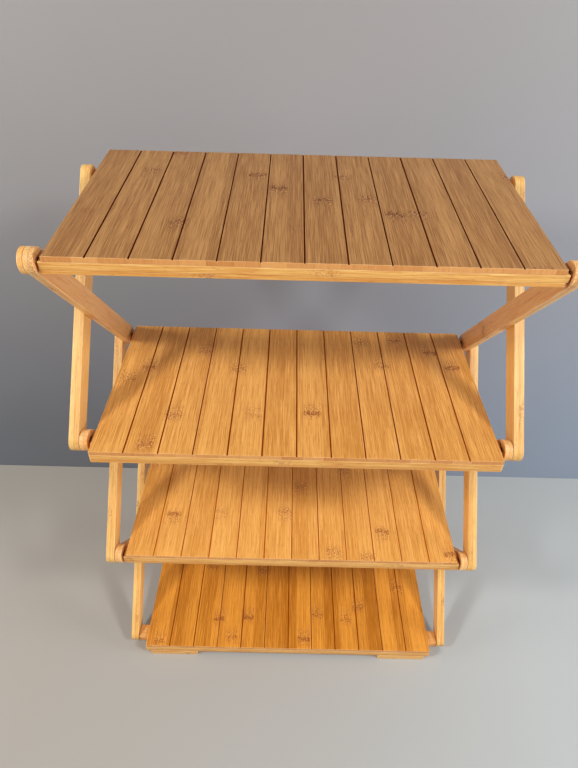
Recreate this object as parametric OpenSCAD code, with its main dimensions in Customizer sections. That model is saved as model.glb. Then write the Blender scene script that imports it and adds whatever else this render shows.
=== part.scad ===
// Folding four-shelf book rack: grooved bamboo shelves on a two-sided lazy-tongs frame.
// Millimetres. X is the width, the front faces -Y, Z is up, and the floor is Z = 0.
// The rack stands open. The origin is on the floor at the middle of its footprint.

/* [Shelves] */
// Width of each shelf board
board_w = 403; // [320:1:520]
// Depth of each shelf board
board_d = 216; // [200:2:260]
// Thickness of each shelf board
board_t = 5; // [4:0.5:7]
// Number of strips that the grooves mark on a board
strip_count = 12; // [6:1:16]
// Width of a groove at the surface
groove_w = 1.5; // [0.8:0.1:2.5]
// Depth of a groove
groove_deep = 1.2; // [0.6:0.1:1.8]
// Height from one shelf to the next
tier = 199; // [180:1:230]

/* [Rails] */
// Depth of a rail, front to rear
rail_d = 18; // [16:0.5:20]
// Height of a rail glued under a board
rail_h = 11; // [9:0.5:14]
// Height of the lip under a board's free edge
lip_h = 10; // [8:0.5:11]
// How far a lip's end stands out past the board's side
lip_overhang = 1; // [0:0.5:3]
// How far a rail's end stands out past the board's side
rail_overhang = 3.5; // [1:0.5:8]
// Side play between a rail's end and the inner arm
side_play = 2; // [0.5:0.5:4]
// From a board's fixed edge in to its pivot axis
fixed_inset = 8; // [7:0.5:10]
// From a board's free edge in to the pivot axis of the rail that carries it
free_inset = 24; // [22:0.5:30]
// Depth of the pivot axis below a board's top
pivot_drop = 8.5; // [8:0.5:11]
// How far the top support rail is set outward from its own pivot axis
top_rail_offset = 2.6; // [2:0.2:3.6]

/* [Arms] */
// Width of an arm
arm_w = 21.5; // [18:0.5:24]
// Thickness of an inner arm
inner_arm_t = 8; // [7:0.5:12]
// Thickness of an outer arm
outer_arm_t = 10; // [8:0.5:14]
// Thickness of the disc that covers a pin where there is no outer arm
cap_t = 4.4; // [4:0.2:7]

/* [Pins] */
// Diameter of every pivot pin
pin_d = 5; // [4:0.5:5.5]
// Depth of a pin in a rail's end
rail_bore_deep = 18; // [12:1:24]

/* [Feet] */
// Length of a foot along the rack's width
foot_l = 66; // [40:2:100]
// Height of a foot under a rail
foot_h = 9; // [6:0.5:16]
// From a board's side in to the foot's outer end
foot_inset = 5.5; // [0:0.5:30]

/* [Hidden] */
$fn = 64;

RIGHT = 1;
LEFT = -1;
shelf_count = 4;
bay_count = shelf_count - 1;

// Clearances
part_gap = 0.3;                 // between pieces that move past each other
stop_gap = 0.4;                 // between a free rail and the lip that stops it
run_gap = 0.05;                 // radial, a pin that turns in its hole
loose_gap = 0.25;               // radial, the hole that closes the linkage
pin_end_gap = 0.3;              // between a pin's end and the bottom of its hole
cut = 0.1;                      // how far a cutting body runs past a face

// Places in depth: every rail pivots on one of two vertical planes
pivot_span = board_d - fixed_inset - free_inset;
front_pivot_y = -pivot_span / 2;
rear_pivot_y = pivot_span / 2;

// Places in height
bottom_shelf_z = foot_h + rail_h + board_t;
function shelf_z(k) = bottom_shelf_z + (shelf_count - k) * tier;
function pivot_z(k) = shelf_z(k) - pivot_drop;
board_under = pivot_drop - board_t;     // board's underside above its pivot axis
rail_under = board_under - rail_h;      // rail's underside from the pivot axis

// Places in width, on the right side
rail_end_x = board_w / 2 + rail_overhang;
inner_arm_x = rail_end_x + side_play;
cap_x = inner_arm_x + inner_arm_t + part_gap;
outer_arm_x = inner_arm_x + inner_arm_t + part_gap + 0.1;
long_rail_end_x = outer_arm_x - part_gap;

// Arms: each bay's arms cross at their middle
arm_l = sqrt(pivot_span * pivot_span + tier * tier);
arm_angle = atan2(tier, pivot_span);
inner_bore_deep = inner_arm_t - 2.5;    // cross pin's blind hole in an inner arm
outer_bore_deep = outer_arm_t - 3;      // blind holes in an outer arm
cap_bore_deep = cap_t - 1.8;

// A board's lip fills the space out to its free edge
lip_d = free_inset - rail_d / 2 - stop_gap;
free_edge = board_d - fixed_inset;
lip_inner = free_edge - lip_d;
lip_reach = board_w / 2 + lip_overhang;
lip_round = 2.4;

// The top board stands with its lip on the support rail's top face
top_tilt = asin(lip_h / lip_inner);

pitch = board_w / strip_count;

// ---- Shapes that several pieces share ----

// Runs its child on the right, or mirrored on the left
module on_side(side) {
    mirror([side == LEFT ? 1 : 0, 0, 0]) children();
}

// Runs its child on both sides
module both_sides() {
    for (side = [LEFT, RIGHT]) on_side(side) children();
}

// Shelf k's own frame: origin on its pivot axis, +Y towards its free edge.
// Odd shelves pivot at the front and even ones at the rear.
module at_shelf(k) {
    odd = k % 2 == 1;
    translate([0, odd ? front_pivot_y : rear_pivot_y, pivot_z(k)])
        mirror([0, odd ? 0 : 1, 0])
            rotate([k == 1 ? top_tilt : 0, 0, 0])
                children();
}

// Frame of the free rail under shelf k, with +Y outward
module at_free_rail(k) {
    odd = k % 2 == 1;
    translate([0, odd ? rear_pivot_y : front_pivot_y, pivot_z(k)])
        mirror([0, odd ? 0 : 1, 0])
            children();
}

// A round bar along X from x0 to x1
module x_bar(d, x0, x1) {
    translate([x0, 0, 0])
        rotate([0, 90, 0])
            cylinder(d = d, h = x1 - x0);
}

// A square bar, reach long each way in X, from y0 to y1 and z0 to z1
module x_beam(reach, y0, y1, z0, z1) {
    translate([-reach, y0, z0])
        cube([2 * reach, y1 - y0, z1 - z0]);
}

// A rail with its pin holes: pivot axis at the origin, ends at +-reach
module bored_rail(reach, y0, z_top, bore_d) {
    difference() {
        x_beam(reach, y0, y0 + rail_d, rail_under, z_top);
        both_sides()
            x_bar(bore_d, reach - rail_bore_deep, reach + cut);
    }
}

// A straight arm with round ends, flat along Y, its inner face at X = 0.
// low_bore and high_bore are [diameter, from, to], and so is mid_bore.
module arm_blank(t, low_bore, mid_bore, high_bore) {
    difference() {
        rotate([90, 0, 90])
            linear_extrude(t) {
                square([arm_l, arm_w], center = true);
                for (end = [-1, 1])
                    translate([end * arm_l / 2, 0])
                        circle(d = arm_w);
            }
        translate([0, -arm_l / 2, 0]) x_bar(low_bore[0], low_bore[1], low_bore[2]);
        x_bar(mid_bore[0], mid_bore[1], mid_bore[2]);
        translate([0, arm_l / 2, 0]) x_bar(high_bore[0], high_bore[1], high_bore[2]);
    }
}

// Middle of the bay under shelf k
module at_bay(k) {
    translate([0, 0, (pivot_z(k) + pivot_z(k + 1)) / 2])
        children();
}

// ---- Shelves ----

// The board: one glued panel with V grooves along its depth
module shelf_panel(k) {
    color(k == 1 ? [0.70, 0.51, 0.32] : [0.84, 0.60, 0.33])
        at_shelf(k)
            difference() {
                x_beam(board_w / 2, -fixed_inset, free_edge, board_under, pivot_drop);
                for (i = [1 : strip_count - 1])
                    translate([-board_w / 2 + i * pitch, free_edge + cut, pivot_drop])
                        rotate([90, 0, 0])
                            linear_extrude(board_d + 2 * cut)
                                polygon([[-groove_w / 2, cut], [0, -groove_deep], [groove_w / 2, cut]]);
            }
}

// The rail glued under the board's fixed edge, bored for the pivot pins
module shelf_rail(k, bore_d) {
    color([0.93, 0.74, 0.44])
        at_shelf(k)
            bored_rail(rail_end_x, -fixed_inset, board_under, bore_d);
}

// The lip glued under the board's free edge, with rounded outer ends
module shelf_lip(k) {
    color([0.90, 0.70, 0.40])
        at_shelf(k)
            translate([0, 0, board_under - lip_h])
                linear_extrude(lip_h) {
                    translate([-lip_reach, lip_inner])
                        square([2 * lip_reach, lip_d - lip_round]);
                    translate([-lip_reach + lip_round, lip_inner])
                        square([2 * (lip_reach - lip_round), lip_d]);
                    for (side = [LEFT, RIGHT])
                        translate([side * (lip_reach - lip_round), free_edge - lip_round])
                            circle(r = lip_round);
                }
}

// The pair of pins that carry a board's fixed rail, ending at x_end
module shelf_pins(k, x_end) {
    color([0.62, 0.60, 0.56])
        at_shelf(k)
            both_sides()
                x_bar(pin_d, rail_end_x - rail_bore_deep + pin_end_gap, x_end);
}

// The disc glued on a pin's outer end where there is no outer arm
module pin_cap(k, side) {
    color([0.95, 0.78, 0.50])
        at_shelf(k)
            on_side(side)
                difference() {
                    x_bar(arm_w, cap_x, cap_x + cap_t);
                    x_bar(pin_d, cap_x - cut, cap_x + cap_bore_deep);
                }
}

// ---- Support rails ----

// The loose rail that carries a board's free edge
module support_rail(k, reach, offset_y) {
    color([0.86, 0.63, 0.35])
        at_free_rail(k)
            bored_rail(reach, offset_y - rail_d / 2, board_under - part_gap, pin_d);
}

// Its pair of pins, pressed into the rail's ends
module support_rail_pins(k, reach) {
    color([0.62, 0.60, 0.56])
        at_free_rail(k)
            both_sides()
                x_bar(pin_d, reach - rail_bore_deep, outer_arm_x + outer_bore_deep - pin_end_gap);
}

// ---- Arms ----

run_d = pin_d + 2 * run_gap;
loose_d = pin_d + 2 * loose_gap;

// Inner arm of the bay under shelf k: from the front at the top to the rear at the bottom
module inner_arm(k, side, rear_bore_d) {
    color([0.80, 0.56, 0.28])
        at_bay(k)
            on_side(side)
                translate([inner_arm_x, 0, 0])
                    rotate([-arm_angle, 0, 0])
                        arm_blank(inner_arm_t,
                            [run_d, -cut, inner_arm_t + cut],
                            [run_d, inner_arm_t - inner_bore_deep, inner_arm_t + cut],
                            [rear_bore_d, -cut, inner_arm_t + cut]);
}

// Outer arm of the bay under shelf k: from the rear at the top to the front at the bottom
module outer_arm(k, side, front_bore_d) {
    color([0.95, 0.76, 0.46])
        at_bay(k)
            on_side(side)
                translate([outer_arm_x, 0, 0])
                    rotate([arm_angle, 0, 0])
                        arm_blank(outer_arm_t,
                            [front_bore_d, -cut, outer_bore_deep],
                            [pin_d, -cut, outer_bore_deep],
                            [run_d, -cut, outer_bore_deep]);
}

// The pair of pins at the crossings of the bay under shelf k, pressed into the outer arms
module cross_pins(k) {
    color([0.62, 0.60, 0.56])
        at_bay(k)
            both_sides()
                x_bar(pin_d,
                    inner_arm_x + inner_arm_t - inner_bore_deep + pin_end_gap,
                    outer_arm_x + outer_bore_deep);
}

// ---- Feet, under the bottom shelf ----

foot_reach = board_w / 2 - foot_inset;

// A rear foot, under the fixed rail
module rear_foot(side) {
    color([0.85, 0.66, 0.38])
        on_side(side)
            translate([foot_reach - foot_l, rear_pivot_y + fixed_inset - rail_d, 0])
                cube([foot_l, rail_d, foot_h]);
}

// A front foot: it fills the height under the lip and runs on under the support rail as a ledge
module front_foot(side) {
    ledge_end = front_pivot_y + rail_d / 2;
    lip_front = front_pivot_y - free_inset;
    color([0.85, 0.66, 0.38])
        on_side(side)
            translate([foot_reach - foot_l, lip_front, 0]) {
                cube([foot_l, ledge_end - lip_front, foot_h - part_gap]);
                cube([foot_l, lip_d, foot_h + rail_h - lip_h]);
            }
}

cap_pin_end = cap_x + cap_bore_deep;
arm_pin_end = outer_arm_x + outer_bore_deep - pin_end_gap;

shelf_panel(1);  // shelf_1_panel
shelf_rail(1, run_d);  // shelf_1_front_rail
shelf_lip(1);  // shelf_1_rear_lip
shelf_pins(1, cap_pin_end);  // shelf_1_pivot_pins
shelf_panel(2);  // shelf_2_panel
shelf_rail(2, run_d);  // shelf_2_rear_rail
shelf_lip(2);  // shelf_2_front_lip
shelf_pins(2, arm_pin_end);  // shelf_2_pivot_pins
shelf_panel(3);  // shelf_3_panel
shelf_rail(3, run_d);  // shelf_3_front_rail
shelf_lip(3);  // shelf_3_rear_lip
shelf_pins(3, arm_pin_end);  // shelf_3_pivot_pins
shelf_panel(4);  // shelf_4_panel
shelf_rail(4, pin_d);  // shelf_4_rear_rail
shelf_lip(4);  // shelf_4_front_lip
shelf_pins(4, cap_pin_end);  // shelf_4_pivot_pins
pin_cap(1, LEFT);  // top_cap_left
pin_cap(1, RIGHT);  // top_cap_right
pin_cap(4, LEFT);  // bottom_cap_left
pin_cap(4, RIGHT);  // bottom_cap_right
support_rail(1, long_rail_end_x, top_rail_offset);  // support_rail_1
support_rail(2, rail_end_x, 0);  // support_rail_2
support_rail(3, rail_end_x, 0);  // support_rail_3
support_rail(4, long_rail_end_x, 0);  // support_rail_4
support_rail_pins(1, long_rail_end_x);  // support_rail_1_pins
support_rail_pins(2, rail_end_x);  // support_rail_2_pins
support_rail_pins(3, rail_end_x);  // support_rail_3_pins
support_rail_pins(4, long_rail_end_x);  // support_rail_4_pins
inner_arm(1, LEFT, run_d);  // top_inner_arm_left
inner_arm(1, RIGHT, run_d);  // top_inner_arm_right
outer_arm(1, LEFT, loose_d);  // top_outer_arm_left
outer_arm(1, RIGHT, loose_d);  // top_outer_arm_right
inner_arm(2, LEFT, loose_d);  // middle_inner_arm_left
inner_arm(2, RIGHT, loose_d);  // middle_inner_arm_right
outer_arm(2, LEFT, run_d);  // middle_outer_arm_left
outer_arm(2, RIGHT, run_d);  // middle_outer_arm_right
inner_arm(3, LEFT, run_d);  // bottom_inner_arm_left
inner_arm(3, RIGHT, run_d);  // bottom_inner_arm_right
outer_arm(3, LEFT, run_d);  // bottom_outer_arm_left
outer_arm(3, RIGHT, run_d);  // bottom_outer_arm_right
cross_pins(1);  // top_cross_pins
cross_pins(2);  // middle_cross_pins
cross_pins(3);  // bottom_cross_pins
front_foot(LEFT);  // front_foot_left
front_foot(RIGHT);  // front_foot_right
rear_foot(LEFT);  // rear_foot_left
rear_foot(RIGHT);  // rear_foot_right
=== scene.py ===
"""Folding bamboo book rack: four grooved shelves on a two-sided lazy-tongs frame.

Metres, the CAD frame: X is the width, the front faces -Y, Z is up, and the floor is Z = 0.
Sections follow the rack as it is put together: boards, rails and lips, feet, support rails,
arms, caps, pins, and then the room with its lamps and the camera.
"""
import math

import bmesh
import bpy
from mathutils import Matrix, Vector


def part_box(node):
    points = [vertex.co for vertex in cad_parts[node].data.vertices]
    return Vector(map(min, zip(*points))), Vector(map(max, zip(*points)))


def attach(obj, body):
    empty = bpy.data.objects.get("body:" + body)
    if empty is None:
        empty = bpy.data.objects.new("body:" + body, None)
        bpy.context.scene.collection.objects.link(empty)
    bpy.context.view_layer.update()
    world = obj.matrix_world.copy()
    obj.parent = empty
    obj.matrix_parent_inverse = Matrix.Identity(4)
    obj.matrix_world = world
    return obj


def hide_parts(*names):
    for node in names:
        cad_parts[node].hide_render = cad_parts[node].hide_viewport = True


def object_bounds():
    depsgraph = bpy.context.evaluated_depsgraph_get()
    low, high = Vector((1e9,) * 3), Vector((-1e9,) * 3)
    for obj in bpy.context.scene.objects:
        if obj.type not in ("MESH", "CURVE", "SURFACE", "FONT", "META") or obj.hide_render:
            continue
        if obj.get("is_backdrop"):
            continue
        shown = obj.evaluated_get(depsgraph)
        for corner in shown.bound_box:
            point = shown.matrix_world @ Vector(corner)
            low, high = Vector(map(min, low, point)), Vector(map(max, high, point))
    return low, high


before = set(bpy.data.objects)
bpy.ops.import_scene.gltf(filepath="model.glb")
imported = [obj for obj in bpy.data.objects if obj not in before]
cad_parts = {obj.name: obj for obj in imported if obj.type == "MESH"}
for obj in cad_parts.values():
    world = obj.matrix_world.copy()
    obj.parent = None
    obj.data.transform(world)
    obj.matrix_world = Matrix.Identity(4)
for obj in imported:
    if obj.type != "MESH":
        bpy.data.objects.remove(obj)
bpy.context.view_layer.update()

# ---- Shelf boards ------------------------------------------------------------------------------
# Each board is one glued bamboo panel, 5 mm thick, with its staves running front to rear. Eleven V
# grooves in the top make it look like twelve loose strips. The arrises are eased and the faces get a
# thin satin lacquer, while the grooves stay bare, browned by the cutter and painted darker still as the
# shade in the recess. The edges show the laminated staves.

MM = 0.001
BOARD_W, BOARD_D, BOARD_T = 403 * MM, 216 * MM, 5 * MM
STRIPS = 12
GROOVE_W, GROOVE_DEEP = 1.5 * MM, 1.2 * MM
FIXED_INSET = 8 * MM                    # pivot axis in from the board's fixed edge
BOARD_TOP, BOARD_UNDER = 8.5 * MM, 3.5 * MM   # above the pivot axis
LIP_H, LIP_INNER = 10 * MM, 193.4 * MM
TOP_TILT = math.asin(LIP_H / LIP_INNER)  # the top board's lip stands on its support rail
SHELVES = {1: "top_shelf", 2: "second_shelf", 3: "third_shelf", 4: "bottom_shelf"}


def pivot_frame(pins, outward, tilt=0.0):
    """A piece's own frame on a pivot axis, with +Y towards the rack's outside."""
    low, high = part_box(pins)
    place = Matrix.Translation((0, (low.y + high.y) / 2, (low.z + high.z) / 2))
    turn = Matrix.Rotation(0 if outward > 0 else math.pi, 4, "Z")
    return place @ turn @ Matrix.Rotation(tilt, 4, "X")


def shelf_frame(k):
    odd = k % 2 == 1
    return pivot_frame(f"shelf_{k}_pivot_pins", 1 if odd else -1, TOP_TILT if k == 1 else 0)


def node_in(tree, kind, settings=None, **sockets):
    """Adds a node; a socket is named, or i0, i1 by its place, and takes a value or another node's socket."""
    node = tree.nodes.new(kind)
    for key, value in (settings or {}).items():
        setattr(node, key, value)
    for key, value in sockets.items():
        by_place = key[0] == "i" and key[1:].isdigit()
        socket = node.inputs[int(key[1:])] if by_place else node.inputs[key.replace("_", " ")]
        if isinstance(value, bpy.types.NodeSocket):
            tree.links.new(value, socket)
        else:
            socket.default_value = value
    return node


def math_node(tree, operation, *values, clamp=False):
    sockets = {f"i{i}": v for i, v in enumerate(values)}
    return node_in(tree, "ShaderNodeMath", {"operation": operation, "use_clamp": clamp}, **sockets).outputs[0]


def sized_tree(name, **sizes):
    """A Geometry Nodes tree with a named input for each size. Returns the tree and its input sockets."""
    tree = bpy.data.node_groups.new(name, "GeometryNodeTree")
    tree.interface.new_socket(name="Geometry", in_out="OUTPUT", socket_type="NodeSocketGeometry")
    for label, value in sizes.items():
        kind = {int: "Int", float: "Float"}.get(type(value), "Material")
        socket = tree.interface.new_socket(name=label, in_out="INPUT", socket_type=f"NodeSocket{kind}")
        socket.default_value = value
    return tree, tree.nodes.new("NodeGroupInput").outputs


def end_tree(tree, geometry, material):
    realized = node_in(tree, "GeometryNodeRealizeInstances", Geometry=geometry)
    covered = node_in(tree, "GeometryNodeSetMaterial", Geometry=realized.outputs[0], Material=material)
    tree.links.new(covered.outputs[0], tree.nodes.new("NodeGroupOutput").inputs[0])


def plain_piece(name, mesh=None, tree=None, sizes=None, ease=0.0, segments=2, ease_angle=28):
    """Runs a tree and a bevel on a new object, and leaves one plain mesh with no modifier."""
    obj = bpy.data.objects.new(name, mesh or bpy.data.meshes.new(name))
    bpy.context.scene.collection.objects.link(obj)
    if tree:
        nodes = obj.modifiers.new("Shape", "NODES")
        nodes.node_group = tree
        for item in tree.interface.items_tree:
            if item.in_out == "INPUT" and item.name in (sizes or {}):
                nodes[item.identifier] = sizes[item.name]
    if ease:
        bevel = obj.modifiers.new("Eased arrises", "BEVEL")
        bevel.width, bevel.segments = ease, segments
        bevel.limit_method, bevel.angle_limit = "ANGLE", math.radians(ease_angle)
        weigh = obj.modifiers.new("Flat faces stay flat", "WEIGHTED_NORMAL")
        weigh.keep_sharp = True
    depsgraph = bpy.context.evaluated_depsgraph_get()
    made = bpy.data.meshes.new_from_object(obj.evaluated_get(depsgraph), preserve_all_data_layers=True,
                                           depsgraph=depsgraph)
    obj.modifiers.clear()
    obj.data = made
    made.name = name
    covers = [cover for cover in made.materials if cover]
    made.materials.clear()
    for cover in covers:
        made.materials.append(cover)
    for f in made.polygons:
        f.material_index = 0
    return obj


def lay_grain(obj, along, shift, place=None, flats=(0, 1, 2)):
    """Keeps each point's place in the stock as the attribute grain, in millimetres: across the
    stave, along the fibres, through the layers. arris is 1 on the faces of an eased edge."""
    mesh = obj.data
    order = {"x": (1, 0, 2), "y": (0, 1, 2), "z": (0, 2, 1)}[along]
    grain = mesh.attributes.new("grain", "FLOAT_VECTOR", "POINT")
    flat = []
    for v in mesh.vertices:
        flat += [v.co[order[i]] / MM + shift[i] for i in range(3)]
    grain.data.foreach_set("vector", flat)
    arris = mesh.attributes.new("arris", "FLOAT", "FACE")
    arris.data.foreach_set("value", [
        1.0 if sum(abs(f.normal[i]) > 0.25 for i in flats) > 1 else 0.0 for f in mesh.polygons])
    if place is not None:
        mesh.transform(place)
    mesh.update()


def srgb(r, g, b):
    """A colour as it looks on screen, 0 to 255, as the linear values that Blender takes."""
    return tuple(c / 255 / 12.92 if c <= 10 else ((c / 255 + 0.055) / 1.055) ** 2.4 for c in (r, g, b)) + (1,)


def bamboo(name, pale, deep, stave_w, layer_t, axes="XYZ", contrast=3.0, stave_tone=0.5, seam=0.25,
           lower=0.0, knuckle=0.8, knuckle_gap=250.0, fleck=0.4, worn_and_highlight=(255, 214, 150)):
    """Lacquered bamboo: staves of slightly different tone, fibres, flecks and speckled knuckles.
    Lengths are in millimetres. axes says which of grain's axes is across, along and through. lower
    darkens the layers below zero. The last colour is that of the pale specks and of the rubbed arrises,
    where it stands for thin lacquer and also for a painted highlight along the edges."""
    mat = bpy.data.materials.new(name)
    mat.use_nodes = True
    t = mat.node_tree
    t.nodes.clear()
    grain = node_in(t, "ShaderNodeAttribute", {"attribute_name": "grain"}).outputs["Vector"]
    split = node_in(t, "ShaderNodeSeparateXYZ", Vector=grain).outputs
    across, along, through = (split[a] for a in axes)

    def m(operation, *values, clamp=False):
        return math_node(t, operation, *values, clamp=clamp)

    def stretched(per_across, per_along, detail=2.0, offset=0.0, rough_detail=0.5):
        """Noise with so many features a millimetre across the stave and along the fibres."""
        vector = node_in(t, "ShaderNodeCombineXYZ", X=m("MULTIPLY", across, per_across),
                         Y=m("MULTIPLY_ADD", along, per_along, offset),
                         Z=m("MULTIPLY", through, per_across * 0.7))
        return node_in(t, "ShaderNodeTexNoise", Vector=vector.outputs[0], Scale=1.0, Detail=detail,
                       Roughness=rough_detail).outputs[0]

    def span(value, low, high, to_low=0.0, to_high=1.0):
        return node_in(t, "ShaderNodeMapRange", {"clamp": True, "interpolation_type": "SMOOTHSTEP"},
                       Value=value, From_Min=low, From_Max=high, To_Min=to_low, To_Max=to_high).outputs[0]

    def blend(factor, a, b, mode="MIX"):
        node = t.nodes.new("ShaderNodeMix")
        node.data_type, node.blend_type = "RGBA", mode
        for place, value in ((0, factor), (6, a), (7, b)):
            if isinstance(value, bpy.types.NodeSocket):
                t.links.new(value, node.inputs[place])
            else:
                node.inputs[place].default_value = value
        return node.outputs[2]

    def darken(factor, colour, by):
        return blend(factor, colour, blend(1.0, colour, srgb(*by), "MULTIPLY"))

    # Which stave and layer a point is in, and three random numbers for it
    wander = m("MULTIPLY_ADD", stretched(0.01, 0.012, 1.0, 31.0), 3.0, -1.5)
    stave_at = m("DIVIDE", m("ADD", across, wander), stave_w)
    layer_at = m("DIVIDE", through, layer_t)
    cell = node_in(t, "ShaderNodeCombineXYZ", X=m("FLOOR", stave_at), Y=m("FLOOR", layer_at), Z=0.37)
    dice = node_in(t, "ShaderNodeTexWhiteNoise", {"noise_dimensions": "3D"}, Vector=cell.outputs[0])
    tone = dice.outputs["Value"]
    more = node_in(t, "ShaderNodeSeparateColor", Color=dice.outputs["Color"]).outputs

    # Fibres, from broad streaks to single hairs
    broad = stretched(0.09, 0.005, 2.0, 3.0)
    middle = stretched(0.55, 0.009, 3.0, 9.0, 0.6)
    fine = stretched(1.4, 0.026, 2.0, 17.0, 0.6)
    streaks = m("MULTIPLY_ADD", broad, 0.2, m("MULTIPLY_ADD", middle, 0.4, m("MULTIPLY", fine, 0.85)))
    depth = m("MULTIPLY_ADD", m("SUBTRACT", streaks, 0.725), contrast, 0.5)
    depth = m("MULTIPLY_ADD", m("LESS_THAN", through, 0.0), lower, depth)
    depth = m("MULTIPLY_ADD", m("SUBTRACT", tone, 0.5), stave_tone, depth, clamp=True)
    colour = blend(depth, pale, deep)

    # Short dark flecks and a few pale hairs along the fibres
    dash = span(stretched(1.7, 0.10, 1.0, 43.0), 0.60, 0.74)
    colour = darken(m("MULTIPLY", dash, fleck), colour, (180, 128, 82))
    hair = span(stretched(1.5, 0.03, 1.0, 91.0), 0.62, 0.74)
    colour = blend(m("MULTIPLY", hair, fleck), colour, pale)

    # Knuckles: at its own height each stave has a mottled cloud of dark and pale specks, and in
    # some staves a ragged darker core
    ragged = m("MULTIPLY_ADD", stretched(0.30, 0.02, 2.0, 71.0), 12.0, -6.0)
    lap = m("DIVIDE", m("ADD", m("MULTIPLY_ADD", more[0], knuckle_gap, along), ragged), knuckle_gap)
    off = m("MULTIPLY", m("SUBTRACT", m("FRACT", lap), 0.5), knuckle_gap)
    side = m("ABSOLUTE", m("SUBTRACT", m("FRACT", stave_at), 0.5))
    reach = m("MULTIPLY", span(side, 0.36, 0.5, 1.0, 0.0), span(more[2], 0.15, 0.45))
    cloud = m("MULTIPLY", span(off, -22.0, -5.0), span(off, 1.0, 13.0, 1.0, 0.0))
    specks = span(stretched(0.75, 0.42, 3.0, 5.0, 0.7), 0.47, 0.57)
    core = m("MULTIPLY", span(m("ABSOLUTE", off), 1.0, 5.0, 1.0, 0.0),
             span(stretched(0.5, 0.3, 3.0, 23.0, 0.65), 0.40, 0.52))
    core = m("MULTIPLY", core, span(more[1], 0.3, 0.7, 0.35, 1.0))
    specks = m("MULTIPLY", specks, cloud)
    dark = m("MULTIPLY", reach, m("MULTIPLY_ADD", specks, 0.72, m("MULTIPLY", core, 0.8)), clamp=True)
    colour = darken(m("MULTIPLY", dark, knuckle), colour, (172, 122, 60))
    light = span(stretched(0.75, 0.42, 3.0, 65.0, 0.7), 0.53, 0.63)
    light = m("MULTIPLY", m("MULTIPLY", light, cloud), m("MULTIPLY", reach, 0.6 * knuckle))
    colour = blend(light, colour, srgb(*worn_and_highlight))

    # Glue lines between staves and between layers
    joint = span(side, 0.5 - 0.35 / stave_w, 0.5 - 0.05 / stave_w)
    sheet = m("ABSOLUTE", m("SUBTRACT", m("FRACT", layer_at), 0.5))
    joint = m("MAXIMUM", joint, span(sheet, 0.5 - 0.35 / layer_t, 0.5 - 0.05 / layer_t))
    colour = darken(m("MULTIPLY", joint, seam), colour, (168, 112, 66))

    # Eased arrises: the lacquer is thin there and the wood shows paler, unevenly; this pale colour is also a
    # painted highlight along the edges
    arris = node_in(t, "ShaderNodeAttribute", {"attribute_name": "arris"}).outputs["Fac"]
    rubbed = m("MULTIPLY", arris, span(stretched(0.12, 0.05, 3.0, 57.0), 0.35, 0.7, 0.15, 0.7))
    colour = blend(rubbed, colour, srgb(*worn_and_highlight))

    height = m("MULTIPLY_ADD", fine, 0.4, m("MULTIPLY_ADD", middle, 0.5, m("MULTIPLY_ADD", dark, -0.6,
               m("MULTIPLY", joint, -0.5))))
    bump = node_in(t, "ShaderNodeBump", Strength=0.45, Distance=0.00025, Height=height)
    satin = 0.34
    roughness = m("ADD", m("MULTIPLY_ADD", fine, 0.16, satin),
                  m("MULTIPLY_ADD", dark, 0.12, m("MULTIPLY", rubbed, 0.10)))
    shader = node_in(t, "ShaderNodeBsdfPrincipled", Base_Color=colour, Roughness=roughness,
                     Normal=bump.outputs[0], Coat_Weight=0.08, Coat_Roughness=0.32, Specular_IOR_Level=0.36)
    t.links.new(shader.outputs[0], t.nodes.new("ShaderNodeOutputMaterial").inputs[0])
    return mat


def burn_and_shade(name, colour):
    """Bare bamboo in the grooves, turned brown by the cutter and painted darker still as the shade in the V:
    dull, and streaked along the fibres, without lacquer.
    """
    mat = bpy.data.materials.new(name)
    mat.use_nodes = True
    t = mat.node_tree
    t.nodes.clear()
    grain = node_in(t, "ShaderNodeAttribute", {"attribute_name": "grain"}).outputs["Vector"]
    along_fibres = node_in(t, "ShaderNodeMapping", Vector=grain, Scale=(1.6, 0.05, 1.6)).outputs[0]
    streaks = node_in(t, "ShaderNodeTexNoise", Vector=along_fibres, Scale=1.0, Detail=3.0).outputs[0]
    lighter = tuple(min(c * 1.7, 1.0) for c in colour[:3]) + (1,)
    tone = node_in(t, "ShaderNodeValToRGB", Fac=streaks)
    burnt_and_shaded, spared = tone.color_ramp.elements
    burnt_and_shaded.color, burnt_and_shaded.position = colour, 0.42
    spared.color, spared.position = lighter, 0.72
    bump = node_in(t, "ShaderNodeBump", Strength=0.5, Distance=0.0002, Height=streaks)
    shader = node_in(t, "ShaderNodeBsdfPrincipled", Base_Color=tone.outputs[0], Normal=bump.outputs[0],
                     Roughness=math_node(t, "MULTIPLY_ADD", streaks, 0.2, 0.72), Specular_IOR_Level=0.08)
    t.links.new(shader.outputs[0], t.nodes.new("ShaderNodeOutputMaterial").inputs[0])
    return mat


STAVE_W = 20.6                          # mm, a board's staves, not in step with the grooves
LAYER_T = 2.2 * BOARD_T / MM            # mm, more than a board, so that its face is one layer
# Each board's face has its own colours, lit and shaded copies of one bamboo: the lower boards are painted
# paler and more orange than the top one to make up for the shade that the shelves above cast on them.
board_faces = {
    1: bamboo("Top board face", srgb(194, 141, 80), srgb(148, 96, 44), STAVE_W, LAYER_T,
              contrast=3.6, stave_tone=0.4, knuckle=1.0, worn_and_highlight=(224, 172, 110)),
    2: bamboo("Second board face", srgb(245, 182, 97), srgb(202, 134, 56), STAVE_W, LAYER_T,
              contrast=3.6, knuckle=1.0, worn_and_highlight=(252, 202, 134)),
    3: bamboo("Third board face", srgb(249, 187, 100), srgb(210, 141, 58), STAVE_W, LAYER_T,
              contrast=3.4, knuckle=0.9, worn_and_highlight=(252, 202, 134)),
    4: bamboo("Bottom board face", srgb(231, 155, 57), srgb(174, 103, 18), STAVE_W, LAYER_T,
              contrast=3.0, stave_tone=0.9, knuckle=0.9, worn_and_highlight=(248, 188, 104)),
}
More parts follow.
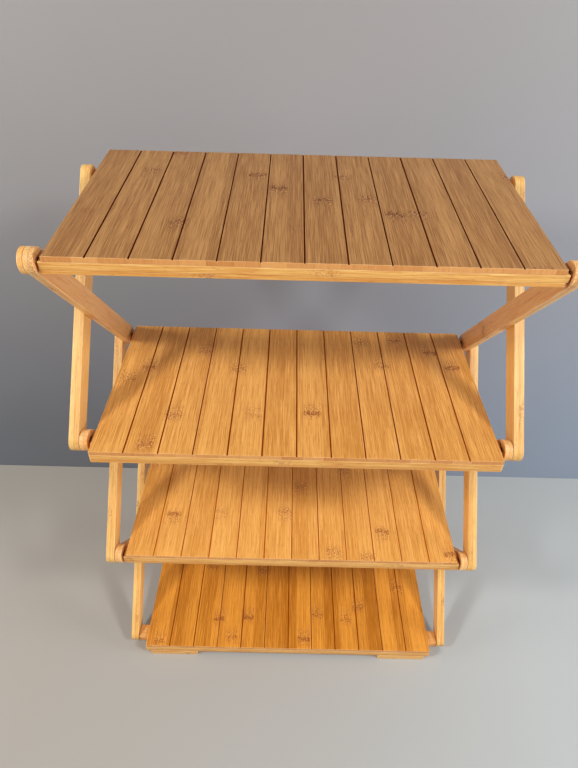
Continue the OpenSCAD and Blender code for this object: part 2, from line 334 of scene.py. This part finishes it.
# The groove colours are partly the cutter's browning and partly painted shade of the V recess, and each shelf
# has its own.
board_grooves = {
    1: burn_and_shade("Top groove burn and shade", srgb(84, 28, 1)),
    2: burn_and_shade("Second groove burn and shade", srgb(138, 60, 1)),
    3: burn_and_shade("Third groove burn and shade", srgb(176, 96, 14)),
    4: burn_and_shade("Bottom groove burn and shade", srgb(136, 60, 1)),
}
board_edge = bamboo("Board edge", srgb(231, 166, 97), srgb(203, 131, 66), STAVE_W, 60.0, axes="XZY",
                    contrast=1.2, stave_tone=0.7, knuckle=0.0, fleck=0.2, seam=0.3, worn_and_highlight=(255, 212, 150))

tree, size = sized_tree("Grooved board", Width=BOARD_W, Depth=BOARD_D, Thickness=BOARD_T, Strips=STRIPS,
                        Groove_width=GROOVE_W, Groove_depth=GROOVE_DEEP, Fixed_inset=FIXED_INSET,
                        Underside=BOARD_UNDER, Seed=1, Face=board_faces[1])
OVER = 1 * MM                           # how far the cutter stands above the board
blank_size = node_in(tree, "ShaderNodeCombineXYZ", X=size["Width"], Y=size["Depth"], Z=size["Thickness"])
half = math_node(tree, "MULTIPLY", size["Depth"], 0.5)
mid_y = math_node(tree, "SUBTRACT", half, size["Fixed_inset"])
mid_z = math_node(tree, "MULTIPLY_ADD", size["Thickness"], 0.5, size["Underside"])
blank_place = node_in(tree, "ShaderNodeCombineXYZ", Y=mid_y, Z=mid_z)
blank = node_in(tree, "GeometryNodeTransform",
                Geometry=node_in(tree, "GeometryNodeMeshCube", Size=blank_size.outputs[0]).outputs[0],
                Translation=blank_place.outputs[0])
# A three-sided bar, tip down, is the V cutter: its flanks widen with height above the tip
cutter_long = math_node(tree, "ADD", size["Depth"], 2 * OVER)
bar = node_in(tree, "GeometryNodeMeshCylinder", Vertices=3, Radius=1.0, Depth=cutter_long)
tip_down = node_in(tree, "GeometryNodeTransform", Geometry=bar.outputs[0],
                   Rotation=(math.pi / 2, math.pi / 2, 0))
cutter_high = math_node(tree, "ADD", size["Groove_depth"], OVER)
spread = math_node(tree, "DIVIDE", math_node(tree, "MULTIPLY", size["Groove_width"], cutter_high),
                   size["Groove_depth"])
cutter_scale = node_in(tree, "ShaderNodeCombineXYZ", X=math_node(tree, "MULTIPLY", spread, 1 / math.sqrt(3)),
                       Y=1.0, Z=math_node(tree, "DIVIDE", cutter_high, 1.5))
drop = math_node(tree, "MULTIPLY_ADD", cutter_high, -1 / 3, OVER)
cutter = node_in(tree, "GeometryNodeTransform", Geometry=tip_down.outputs[0], Scale=cutter_scale.outputs[0],
                 Translation=node_in(tree, "ShaderNodeCombineXYZ", Z=drop).outputs[0])
pitch = math_node(tree, "DIVIDE", size["Width"], size["Strips"])
first = math_node(tree, "MULTIPLY_ADD", size["Width"], -0.5, pitch)
top_z = math_node(tree, "ADD", size["Underside"], size["Thickness"])
line = node_in(tree, "GeometryNodeMeshLine", Count=math_node(tree, "SUBTRACT", size["Strips"], 1),
               Start_Location=node_in(tree, "ShaderNodeCombineXYZ", X=first, Y=mid_y, Z=top_z).outputs[0],
               Offset=node_in(tree, "ShaderNodeCombineXYZ", X=pitch).outputs[0])
# Each groove comes out a little narrower or shallower than the cutter
wear = node_in(tree, "FunctionNodeRandomValue", {"data_type": "FLOAT_VECTOR"}, i0=(0.78, 1, 0.88),
               i1=(1, 1, 1), Seed=size["Seed"])
cutters = node_in(tree, "GeometryNodeInstanceOnPoints", Points=line.outputs[0], Instance=cutter.outputs[0],
                  Scale=wear.outputs[0])
routed = node_in(tree, "GeometryNodeMeshBoolean", {"operation": "DIFFERENCE", "solver": "EXACT"})
tree.links.new(blank.outputs[0], routed.inputs["Mesh 1"])
tree.links.new(node_in(tree, "GeometryNodeRealizeInstances", Geometry=cutters.outputs[0]).outputs[0],
               routed.inputs["Mesh 2"])
end_tree(tree, routed.outputs[0], size["Face"])

BOARD_EASE = 0.3 * MM
GROOVE_LIP = BOARD_TOP - 0.08 * GROOVE_DEEP   # the browning and painted shade start below this height
FACE, EDGE, BURN_AND_SHADE = 0, 1, 2              # the board's three materials
for k, body in SHELVES.items():
    board = plain_piece(f"board_{k}", tree=tree, sizes={"Seed": k, "Face": board_faces[k]}, ease=BOARD_EASE)
    board.data.materials.append(board_edge)
    board.data.materials.append(board_grooves[k])
    for f in board.data.polygons:
        inside = abs(f.center.x) < BOARD_W / 2 - GROOVE_W
        in_groove = inside and f.center.z < GROOVE_LIP and f.normal.z > 0.1
        f.material_index = EDGE if abs(f.normal.y) > 0.6 else BURN_AND_SHADE if in_groove else FACE
    lay_grain(board, "y", (k * 137.0, k * 91.0, 0.7), shelf_frame(k))
    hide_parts(f"shelf_{k}_panel")
    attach(board, body)

# ---- Fixed rails -------------------------------------------------------------------------------
# A rectangular bamboo rail is glued under one long edge of each board, flush with the edge. It is
# laminated from two layers, runs past the board's sides, and is bored in both ends for the pins.

RAIL_D, RAIL_H = 18 * MM, 11 * MM
RAIL_REACH = 205 * MM                   # half its length
RAIL_UNDER = BOARD_UNDER - RAIL_H       # above the pivot axis, like all heights here
BORE_R, BORE_DEEP = 2.55 * MM, 18 * MM
RAIL_EASE, END_EASE = 0.7 * MM, 0.45 * MM   # along the rail and round its sawn ends
RAIL_SEAM = RAIL_UNDER + 4.3 * MM       # height of the glue line between a rail's two layers
SEAM = 0.22 * MM                        # the glue line's little V
OPENED, OPEN_LONG = 0.8 * MM, 26 * MM   # the top rail's glue line gapes at its right end
rail_bamboo = bamboo("Rail bamboo", srgb(248, 196, 113), srgb(218, 148, 69), 40.0, 8.0, seam=0.5, lower=0.45,
                     stave_tone=0.2, knuckle=0.5, knuckle_gap=330.0, worn_and_highlight=(255, 222, 160))


def rounded_section(y0, y1, z0, z1, ease, seam, inset=0.0, steps=4):
    """A rail's cross-section: a rectangle with eased arrises and a V, seam wide, at the glue line."""
    y0, y1, z0, z1 = y0 + inset, y1 - inset, z0 + inset, z1 - inset
    r = max(ease - inset, 0.15 * MM)
    points = []
    corners = (y1 - r, z0 + r, -90), (y1 - r, z1 - r, 0), (y0 + r, z1 - r, 90), (y0 + r, z0 + r, 180)
    for cy, cz, start in corners:
        for i in range(steps + 1):
            a = math.radians(start + 90 * i / steps)
            points.append((cy + r * math.cos(a), cz + r * math.sin(a)))
        if start in (-90, 90):
            face_y, inward = (y1, -1) if start == -90 else (y0, 1)
            up = 1 if start == -90 else -1
            for dz, dy in ((-seam / 2, 0), (0, seam), (seam / 2, 0)):
                points.append((face_y + inward * dy, RAIL_SEAM + up * dz))
    return points


def loft(name, rings):
    """Skins rings of equal length in order, closes both ends, and turns the faces outwards."""
    mesh = bpy.data.meshes.new(name)
    bm = bmesh.new()
    rows = [[bm.verts.new(p) for p in ring] for ring in rings]
    count = len(rows[0])
    for a, b in zip(rows, rows[1:]):
        for i in range(count):
            bm.faces.new((a[i], a[(i + 1) % count], b[(i + 1) % count], b[i]))
    bm.faces.new(rows[0][::-1])
    bm.faces.new(rows[-1])
    bmesh.ops.recalc_face_normals(bm, faces=bm.faces)
    bm.to_mesh(mesh)
    bm.free()
    return mesh


def bored_rail(name, reach, y0, z_top, bore_r, opened=0.0):
    """A rail along X about its pivot axis, with a blind pin hole in each end. Where its glue line has
    opened at the right end, the lower layer also stops short."""

    def at_end(x, ring, gap):
        return [(x - (2 * gap if z < RAIL_SEAM else 0), y, z) for y, z in ring]

    def section(inset, gap):
        return rounded_section(y0, y0 + RAIL_D, RAIL_UNDER, z_top, RAIL_EASE, SEAM + gap, inset)

    def bore(gap):
        return [(y / math.hypot(y, z) * bore_r, z / math.hypot(y, z) * bore_r) for y, z in section(0, gap)]

    stations = []
    for side, gap in ((-1, 0.0), (1, opened)):
        part = [at_end(side * (reach - BORE_DEEP), bore(gap), 0), at_end(side * reach, bore(gap), gap),
                at_end(side * reach, section(END_EASE, gap), gap),
                at_end(side * (reach - END_EASE / 3), section(END_EASE / 3, gap), gap),
                at_end(side * (reach - END_EASE), section(0, gap), gap),
                at_end(side * (reach - OPEN_LONG), section(0, 0), 0)]
        stations += part if side < 0 else part[::-1]
    return plain_piece(name, mesh=loft(name, stations))


for k, body in SHELVES.items():
    node = f"shelf_{k}_{'front' if k % 2 else 'rear'}_rail"
    opened = OPENED if k == 1 else 0
    rail = bored_rail(f"fixed_rail_{k}", RAIL_REACH, -FIXED_INSET, BOARD_UNDER, BORE_R, opened)
    rail.data.materials.append(rail_bamboo)
    lay_grain(rail, "x", (k * 61.0, k * 173.0, -RAIL_SEAM / MM), shelf_frame(k), flats=(1, 2))
    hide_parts(node)
    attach(rail, body)

# ---- Lips --------------------------------------------------------------------------------------
# A thinner strip is glued under the other long edge of each board. Its outer ends are rounded
# over, and it stops the loose rail that carries the board.

LIP_D = 14.6 * MM
LIP_REACH = 202.5 * MM                  # half its length: it stands just past the board's sides
LIP_ROUND = 2.4 * MM
LIP_EASE = 0.5 * MM                     # the lower arris
GLUED_H, GLUED_IN = 0.3 * MM, 0.2 * MM  # the fine cut along the glued edge
CUT_W, CUT_D = 0.3 * MM, 2 * MM         # the slim cuts at the inner corners


def lip_outline(inset):
    """The lip from above: slim cuts at the two inner corners, rounded at the two outer ones."""
    w, r = LIP_REACH - inset, LIP_ROUND - inset
    y0, y1 = LIP_INNER + inset, LIP_INNER + LIP_D - inset
    points = [(-w, y0 + CUT_D), (-w + CUT_W, y0), (w - CUT_W, y0), (w, y0 + CUT_D)]
    for side, start in ((1, 0), (-1, 90)):
        for i in range(9):
            a = math.radians(start + 90 * i / 8)
            points.append((side * (w - r) + r * math.cos(a), y1 - r + r * math.sin(a)))
    return points


low_z, high_z, e = BOARD_UNDER - LIP_H, BOARD_UNDER, LIP_EASE
levels = [(low_z, e), (low_z + 0.3 * e, 0.3 * e), (low_z + e, 0), (high_z - GLUED_H, 0), (high_z, GLUED_IN)]
lip_rings = [[(x, y, z) for x, y in lip_outline(inset)] for z, inset in levels]
for k, body in SHELVES.items():
    node = f"shelf_{k}_{'rear' if k % 2 else 'front'}_lip"
    lip = plain_piece(f"lip_{k}", mesh=loft(node, lip_rings))
    lip.data.materials.append(rail_bamboo)
    lay_grain(lip, "x", (k * 47.0, k * 119.0, 3.5), shelf_frame(k), flats=(1, 2))
    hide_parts(node)
    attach(lip, body)

# ---- Feet --------------------------------------------------------------------------------------
# Four short bamboo blocks are glued under the bottom shelf, a pair under its rail and a pair
# under its lip. The front pair run on rearwards as a low ledge beneath the loose rail.

FOOT_EASE = 0.6 * MM
LEDGE_TOP = 8.7 * MM                    # above the floor
for end in ("front", "rear"):
    for side, sign in (("left", -1), ("right", 1)):
        node = f"{end}_foot_{side}"
        low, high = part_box(node)
        if end == "rear":
            outline = [(low.y, low.z), (high.y, low.z), (high.y, high.z), (low.y, high.z)]
        else:
            step_y = low.y + LIP_D
            outline = [(low.y, low.z), (high.y, low.z), (high.y, LEDGE_TOP), (step_y, LEDGE_TOP),
                       (step_y, high.z), (low.y, high.z)]
        mesh = loft(node, [[(x, y, z) for y, z in outline] for x in (low.x, high.x)])
        foot = plain_piece(f"{end}_foot_block_{side}", mesh=mesh, ease=FOOT_EASE)
        foot.data.materials.append(rail_bamboo)
        lay_grain(foot, "x", (9.0 + 31 * sign, 70.0 * sign, 1.5))
        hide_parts(node)
        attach(foot, "bottom_shelf")

# ---- Support rails -----------------------------------------------------------------------------
# Four loose rails carry the free edges of the boards. Each is laminated from two layers like the
# fixed rails, and has steel pins pressed into its ends, which turn in the arms.

LONG_REACH = 215.1 * MM                 # rails 1 and 4 reach the outer arms
SHIFT = 2.6 * MM                        # the top one lies further out on its pins
SUPPORTS = {1: (LONG_REACH, SHIFT), 2: (RAIL_REACH, 0.0), 3: (RAIL_REACH, 0.0), 4: (LONG_REACH, 0.0)}
SUPPORT_PLAY = 0.3 * MM                 # between the rail and the board that it carries
PIN_R = 2.5 * MM
support_bamboo = bamboo("Support rail bamboo", srgb(250, 196, 116), srgb(218, 150, 76), 40.0, 8.0, seam=0.5,
                        knuckle=0.5, knuckle_gap=310.0, worn_and_highlight=(250, 204, 142))
for k, (reach, offset) in SUPPORTS.items():
    rail = bored_rail(f"loose_rail_{k}", reach, offset - RAIL_D / 2, BOARD_UNDER - SUPPORT_PLAY, PIN_R)
    rail.data.materials.append(support_bamboo)
    place = pivot_frame(f"support_rail_{k}_pins", 1 if k % 2 else -1)
    lay_grain(rail, "x", (k * 83.0, k * 211.0, -RAIL_SEAM / MM), place, flats=(1, 2))
    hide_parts(f"support_rail_{k}")
    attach(rail, f"support_{k}")

# ---- Arms --------------------------------------------------------------------------------------
# Six pairs of flat bamboo arms with full round ends make the lazy tongs, drilled at both ends and
# at the middle. Inner arms are 8 mm thick and outer arms 10 mm, each laminated from two layers.

SPAN, TIER = 184 * MM, 199 * MM         # what an arm covers, front to rear and in height
ARM_L, ARM_TURN = math.hypot(SPAN, TIER), math.atan2(TIER, SPAN)   # between the end holes
ARM_W = 21.5 * MM
INNER_T, OUTER_T = 8 * MM, 10 * MM
INNER_X, OUTER_X = 207 * MM, 215.4 * MM
RUN_R, LOOSE_R = 2.55 * MM, 2.75 * MM   # holes that a pin turns in, snugly or with play
CUT = 0.1 * MM                          # how far a drill starts outside the arm
ARM_EASE = 0.5 * MM
arm_bamboos = {
    "inner": bamboo("Inner arm bamboo", srgb(248, 204, 136), srgb(227, 160, 88), 24.0, 4.0, contrast=2.4,
                    seam=0.35, knuckle=0.7, knuckle_gap=190.0, worn_and_highlight=(255, 222, 164)),
    "outer": bamboo("Outer arm bamboo", srgb(243, 202, 125), srgb(221, 156, 75), 24.0, 5.0, contrast=2.4,
                    seam=0.35, knuckle=0.6, knuckle_gap=210.0, worn_and_highlight=(250, 208, 146)),
}

tree, size = sized_tree("Drilled arm", Length=ARM_L, Width=ARM_W, Thickness=INNER_T,
                        Low_radius=RUN_R, Low_from=0.0, Low_to=INNER_T, Mid_radius=RUN_R, Mid_from=0.0,
                        Mid_to=INNER_T, High_radius=RUN_R, High_from=0.0, High_to=INNER_T,
                        Stock=arm_bamboos["inner"])
# A disc pulled apart across its middle; half a step of turn keeps the flanks straight
ROUND = 64                              # sides of a full circle
disc = node_in(tree, "GeometryNodeMeshCylinder", Vertices=ROUND, Depth=size["Thickness"],
               Radius=math_node(tree, "MULTIPLY", size["Width"], 0.5 / math.cos(math.pi / ROUND)))
disc = node_in(tree, "GeometryNodeTransform", Geometry=disc.outputs[0], Rotation=(0, 0, math.pi / ROUND))
where = node_in(tree, "ShaderNodeSeparateXYZ", Vector=node_in(tree, "GeometryNodeInputPosition").outputs[0])
stretch = math_node(tree, "MULTIPLY", math_node(tree, "SIGN", where.outputs[1]),
                    math_node(tree, "MULTIPLY", size["Length"], 0.5))
pulled = node_in(tree, "GeometryNodeSetPosition", Geometry=disc.outputs[0],
                 Offset=node_in(tree, "ShaderNodeCombineXYZ", Y=stretch).outputs[0])
upright = node_in(tree, "GeometryNodeTransform", Geometry=pulled.outputs[0], Rotation=(0, math.pi / 2, 0),
                  Translation=node_in(tree, "ShaderNodeCombineXYZ",
                                      X=math_node(tree, "MULTIPLY", size["Thickness"], 0.5)).outputs[0])
drilled = node_in(tree, "GeometryNodeMeshBoolean", {"operation": "DIFFERENCE", "solver": "EXACT"})
tree.links.new(upright.outputs[0], drilled.inputs["Mesh 1"])
for hole, along in (("Low", -0.5), ("Mid", 0.0), ("High", 0.5)):
    start, stop = size[f"{hole}_from"], size[f"{hole}_to"]
    drill = node_in(tree, "GeometryNodeMeshCylinder", Vertices=32, Radius=size[f"{hole}_radius"],
                    Depth=math_node(tree, "SUBTRACT", stop, start))
    centre = node_in(tree, "ShaderNodeCombineXYZ",
                     X=math_node(tree, "MULTIPLY", math_node(tree, "ADD", start, stop), 0.5),
                     Y=math_node(tree, "MULTIPLY", size["Length"], along))
    placed = node_in(tree, "GeometryNodeTransform", Geometry=drill.outputs[0], Rotation=(0, math.pi / 2, 0),
                     Translation=centre.outputs[0])
    tree.links.new(placed.outputs[0], drilled.inputs["Mesh 2"])
end_tree(tree, drilled.outputs[0], size["Stock"])

INNER_BORE, OUTER_BORE = INNER_T - 2.5 * MM, OUTER_T - 3 * MM   # depths of the blind holes
for number, bay in enumerate(("top", "middle", "bottom")):
    low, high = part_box(f"{bay}_cross_pins")
    middle_z = (low.z + high.z) / 2
    for layer in ("inner", "outer"):
        loose = (bay, layer) in (("top", "outer"), ("middle", "inner"))
        if layer == "inner":
            thick, start_x, turn = INNER_T, INNER_X, -ARM_TURN
            holes = {"Low": (RUN_R, -CUT, INNER_T + CUT), "Mid": (RUN_R, INNER_T - INNER_BORE, INNER_T + CUT),
                     "High": (LOOSE_R if loose else RUN_R, -CUT, INNER_T + CUT)}
        else:
            thick, start_x, turn = OUTER_T, OUTER_X, ARM_TURN
            holes = {"Low": (LOOSE_R if loose else RUN_R, -CUT, OUTER_BORE),
                     "Mid": (PIN_R, -CUT, OUTER_BORE), "High": (RUN_R, -CUT, OUTER_BORE)}
        sizes = {"Thickness": thick, "Stock": arm_bamboos[layer]}
        for hole, (radius, start, stop) in holes.items():
            sizes |= {f"{hole}_radius": radius, f"{hole}_from": start, f"{hole}_to": stop}
        for side, sign in (("left", -1), ("right", 1)):
            arm = plain_piece(f"{bay}_{layer}_bar_{side}", tree=tree, sizes=sizes, ease=ARM_EASE, segments=3,
                              ease_angle=40)
            flip = Matrix.Rotation(math.pi if sign < 0 else 0, 4, "Y")
            place = Matrix.Translation((sign * start_x, 0, middle_z)) @ Matrix.Rotation(turn, 4, "X") @ flip
            # Laid flat, so that its thickness counts as the way through the layers
            arm.data.transform(Matrix.Rotation(math.pi / 2, 4, "Y"))
            shift = (number * 71.0 + sign * 19, number * 157.0 + sign * 83 + thick / MM, thick / MM * 5)
            lay_grain(arm, "y", shift, place @ Matrix.Rotation(-math.pi / 2, 4, "Y"), flats=(2, 0))
            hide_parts(f"{bay}_{layer}_arm_{side}")
            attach(arm, f"{bay}_{layer}_arms")

# ---- Caps --------------------------------------------------------------------------------------
# A round bamboo disc is pressed on the pin's outer end where no outer arm covers it: at the front
# of the top shelf and at the rear of the bottom one. Its outer arris is turned round.

CAP_X, CAP_T = 215.3 * MM, 4.4 * MM
CAP_R = ARM_W / 2
CAP_BORE = CAP_T - 1.8 * MM             # depth of its blind hole
CAP_ROUND, CAP_EASE = 0.8 * MM, 0.4 * MM    # the outer arris and the inner one
cap_bamboo = bamboo("Cap bamboo", srgb(255, 206, 128), srgb(232, 164, 84), 24.0, 30.0, contrast=2.4,
                    knuckle=0.3, worn_and_highlight=(252, 190, 112))
ROUND_STEPS = 5
cap_profile = [(CAP_X + CAP_BORE, PIN_R), (CAP_X, PIN_R), (CAP_X, CAP_R - CAP_EASE),
               (CAP_X + 0.3 * CAP_EASE, CAP_R - 0.3 * CAP_EASE), (CAP_X + CAP_EASE, CAP_R)]
for i in range(ROUND_STEPS + 1):
    a = math.radians(90 * i / ROUND_STEPS)
    cap_profile.append((CAP_X + CAP_T - CAP_ROUND * (1 - math.sin(a)), CAP_R - CAP_ROUND * (1 - math.cos(a))))


def ring(x, radius):
    """A circle of points about the pin's axis."""
    turns = [2 * math.pi * i / ROUND for i in range(ROUND)]
    return [(x, radius * math.cos(a), radius * math.sin(a)) for a in turns]


for k, row, body in ((1, "top", "shelf_1_pins"), (4, "bottom", "bottom_shelf")):
    for side, sign in (("left", -1), ("right", 1)):
        mesh = loft(row, [ring(sign * x, r) for x, r in cap_profile])
        cap = plain_piece(f"{row}_pin_cap_{side}", mesh=mesh)
        for f in cap.data.polygons:
            f.use_smooth = len(f.vertices) == 4
        cap.data.set_sharp_from_angle(angle=math.radians(35))
        cap.data.materials.append(cap_bamboo)
        lay_grain(cap, "y", (k * 33.0, sign * 57.0, 0.0), shelf_frame(k), flats=(0, 1))
        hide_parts(f"{row}_cap_{side}")
        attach(cap, body)

# ---- Pins --------------------------------------------------------------------------------------
# Plain 5 mm pins of steel turn in the drilled holes. They are coloured as browned steel and painted darker
# still as the shade in the gaps where they show. Only slivers of them show between the pieces, with fine
# turning marks and a little dulling.

steel = bpy.data.materials.new("Pin steel")
steel.use_nodes = True
t = steel.node_tree
t.nodes.clear()
at = node_in(t, "ShaderNodeTexCoord").outputs["Object"]
rings = node_in(t, "ShaderNodeMapping", Vector=at, Scale=(9000, 60, 60))
marks = node_in(t, "ShaderNodeTexNoise", Vector=rings.outputs[0], Scale=1.0, Detail=2.0)
dull = node_in(t, "ShaderNodeTexNoise", Vector=at, Scale=240.0, Detail=3.0)
shade = node_in(t, "ShaderNodeValToRGB", Fac=dull.outputs[0])
# The darker colour is browned steel and also painted shade for the gaps.
browned_and_shaded, rubbed = shade.color_ramp.elements
browned_and_shaded.color, browned_and_shaded.position = srgb(86, 76, 64), 0.35
rubbed.color, rubbed.position = srgb(122, 110, 94), 0.7
gloss = math_node(t, "MULTIPLY_ADD", marks.outputs[0], 0.2, 0.22)
grooves = node_in(t, "ShaderNodeBump", Strength=0.25, Distance=0.00005, Height=marks.outputs[0])
metal = node_in(t, "ShaderNodeBsdfPrincipled", Base_Color=shade.outputs[0], Metallic=1.0, Roughness=gloss,
                Normal=grooves.outputs[0])
t.links.new(metal.outputs[0], t.nodes.new("ShaderNodeOutputMaterial").inputs[0])
for name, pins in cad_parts.items():
    if name.endswith("_pins"):
        pins.data.materials.clear()
        pins.data.materials.append(steel)

# ---- The room ----------------------------------------------------------------------------------
# A pale grey floor and a grey-blue wall close behind the rack, both matt, under two soft lamps and
# broad bounced light from the sides. The wall shows from its front only, so that it doesn't hide the
# rack's back. Both carry painted light and shade: the floor is paler and cooler to the right, and the
# wall is darker low down and at the left, where the rack's shadow falls, and cooler to the right.

WALL_Y = 0.235
TINTED = 0.35                           # the colours change over this far either side of the middle
FADE_LOW, FADE_HIGH = 0.05, 0.85        # and over these heights


def matt(name, left, right, top=None, one_sided=False):
    """Matt paint with faint clouds, which changes from left to right and, with a top colour, upwards; these
    changes are painted light and shade.
    """
    mat = bpy.data.materials.new(name)
    mat.use_nodes = True
    t = mat.node_tree
    t.nodes.clear()
    at = node_in(t, "ShaderNodeTexCoord").outputs["Object"]
    split = node_in(t, "ShaderNodeSeparateXYZ", Vector=at).outputs
    sideways = node_in(t, "ShaderNodeMapRange", Value=split["X"], From_Min=-TINTED,
                       From_Max=TINTED).outputs[0]
    tint = node_in(t, "ShaderNodeMixRGB", Fac=sideways, Color1=left, Color2=right)
    if top:
        upward = node_in(t, "ShaderNodeMapRange", {"interpolation_type": "SMOOTHSTEP"}, Value=split["Z"],
                         From_Min=FADE_LOW, From_Max=FADE_HIGH).outputs[0]
        tint = node_in(t, "ShaderNodeMixRGB", Fac=upward, Color1=tint.outputs[0], Color2=top)
    cloud = node_in(t, "ShaderNodeTexNoise", Vector=at, Scale=3.0, Detail=2.0)
    shade = math_node(t, "MULTIPLY_ADD", cloud.outputs[0], -0.06, 1.03)
    tint = node_in(t, "ShaderNodeMixRGB", {"blend_type": "MULTIPLY"}, Fac=1.0, Color1=tint.outputs[0],
                   Color2=shade)
    rough = math_node(t, "MULTIPLY_ADD", cloud.outputs[0], 0.1, 0.8)
    fleece = node_in(t, "ShaderNodeTexNoise", Vector=at, Scale=700.0, Detail=2.0)
    bump = node_in(t, "ShaderNodeBump", Strength=0.05, Distance=0.0003, Height=fleece.outputs[0])
    surface = node_in(t, "ShaderNodeBsdfPrincipled", Base_Color=tint.outputs[0], Roughness=rough,
                      Normal=bump.outputs[0]).outputs[0]
    if one_sided:
        back = node_in(t, "ShaderNodeNewGeometry").outputs["Backfacing"]
        clear = t.nodes.new("ShaderNodeBsdfTransparent").outputs[0]
        surface = node_in(t, "ShaderNodeMixShader", i0=back, i1=surface, i2=clear).outputs[0]
    t.links.new(surface, t.nodes.new("ShaderNodeOutputMaterial").inputs[0])
    return mat


def sheet_of(name, corners, material):
    mesh = bpy.data.meshes.new(name)
    mesh.from_pydata(corners, [], [(0, 1, 2, 3)])
    mesh.materials.append(material)
    obj = bpy.data.objects.new(name, mesh)
    bpy.context.scene.collection.objects.link(obj)
    obj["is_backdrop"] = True


ROOM = 6.0                              # from the middle to the edge of the floor and the wall
# Painted light: the floor is paler and cooler to the right, warmer and darker to the left.
sheet_of("floor", [(-ROOM, -ROOM, 0), (ROOM, -ROOM, 0), (ROOM, ROOM, 0), (-ROOM, ROOM, 0)],
         matt("Floor paint with painted light", srgb(166, 160, 151), srgb(177, 180, 178)))
# Painted shade: darker at the lower left, where the rack's shadow falls, cooler to the right and paler at the
# top.
sheet_of("wall", [(-ROOM, WALL_Y, 0), (ROOM, WALL_Y, 0), (ROOM, WALL_Y, ROOM), (-ROOM, WALL_Y, ROOM)],
         matt("Wall paint with painted shade", srgb(98, 101, 107), srgb(130, 139, 152), srgb(147, 144, 143), one_sided=True))


def softbox(name, place, across, power, tint=(1, 1, 1)):
    """A round soft lamp that points at the middle of the rack."""
    lamp = bpy.data.lights.new(name, "AREA")
    lamp.shape, lamp.size = "DISK", across
    lamp.energy, lamp.color = power, tint
    obj = bpy.data.objects.new(name, lamp)
    obj.location = place
    obj.rotation_euler = (Vector(RACK_MIDDLE) - Vector(place)).to_track_quat("-Z", "Y").to_euler()
    bpy.context.scene.collection.objects.link(obj)


RACK_MIDDLE = (0, 0, 0.32)
LAMP, BOUNCE = 0.28, 1.0                # how wide the lamps and the bounced lights are
softbox("left lamp", (-1.15, -0.73, 1.45), LAMP, 15.0)
softbox("right lamp", (0.97, -0.73, 1.45), LAMP, 12.5)
softbox("left bounce", (-2.0, -0.38, 0.45), BOUNCE, 28, (1.0, 0.98, 0.94))
softbox("right bounce", (2.0, -0.38, 0.45), BOUNCE, 38, (0.94, 0.98, 1.06))
world = bpy.data.worlds.new("Studio")
world.use_nodes = True
sky = world.node_tree.nodes["Background"].inputs
sky["Color"].default_value, sky["Strength"].default_value = (1, 1, 1, 1), 0.23
bpy.context.scene.world = world
bpy.context.scene.view_settings.view_transform = "Standard"

# ---- Camera ------------------------------------------------------------------------------------
# It looks down from the front, slightly turned and rolled, as the photograph does.

LENS_PX, IMAGE_W = 562.72, 578          # focal length and width of the photograph, in its pixels
STAND = Vector((-11.956, -487.478, 825.418)) * MM
PITCH, YAW, ROLL = (math.radians(a) for a in (39.933, 0.386, -1.674))
forward = Vector((math.sin(YAW) * math.cos(PITCH), math.cos(YAW) * math.cos(PITCH), -math.sin(PITCH)))
right = Vector((math.cos(YAW), -math.sin(YAW), 0))
down = forward.cross(right)
image_right = math.cos(ROLL) * right + math.sin(ROLL) * down
image_down = -math.sin(ROLL) * right + math.cos(ROLL) * down
lens = bpy.data.cameras.new("camera")
lens.sensor_fit, lens.sensor_width = "HORIZONTAL", 36
lens.lens = LENS_PX / IMAGE_W * lens.sensor_width
lens.clip_start, lens.clip_end = 0.01, 50
camera = bpy.data.objects.new("camera", lens)
turned = Matrix((image_right, -image_down, -forward)).transposed().to_4x4()
camera.matrix_world = Matrix.Translation(STAND) @ turned
bpy.context.scene.collection.objects.link(camera)
bpy.context.scene.camera = camera

low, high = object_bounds()
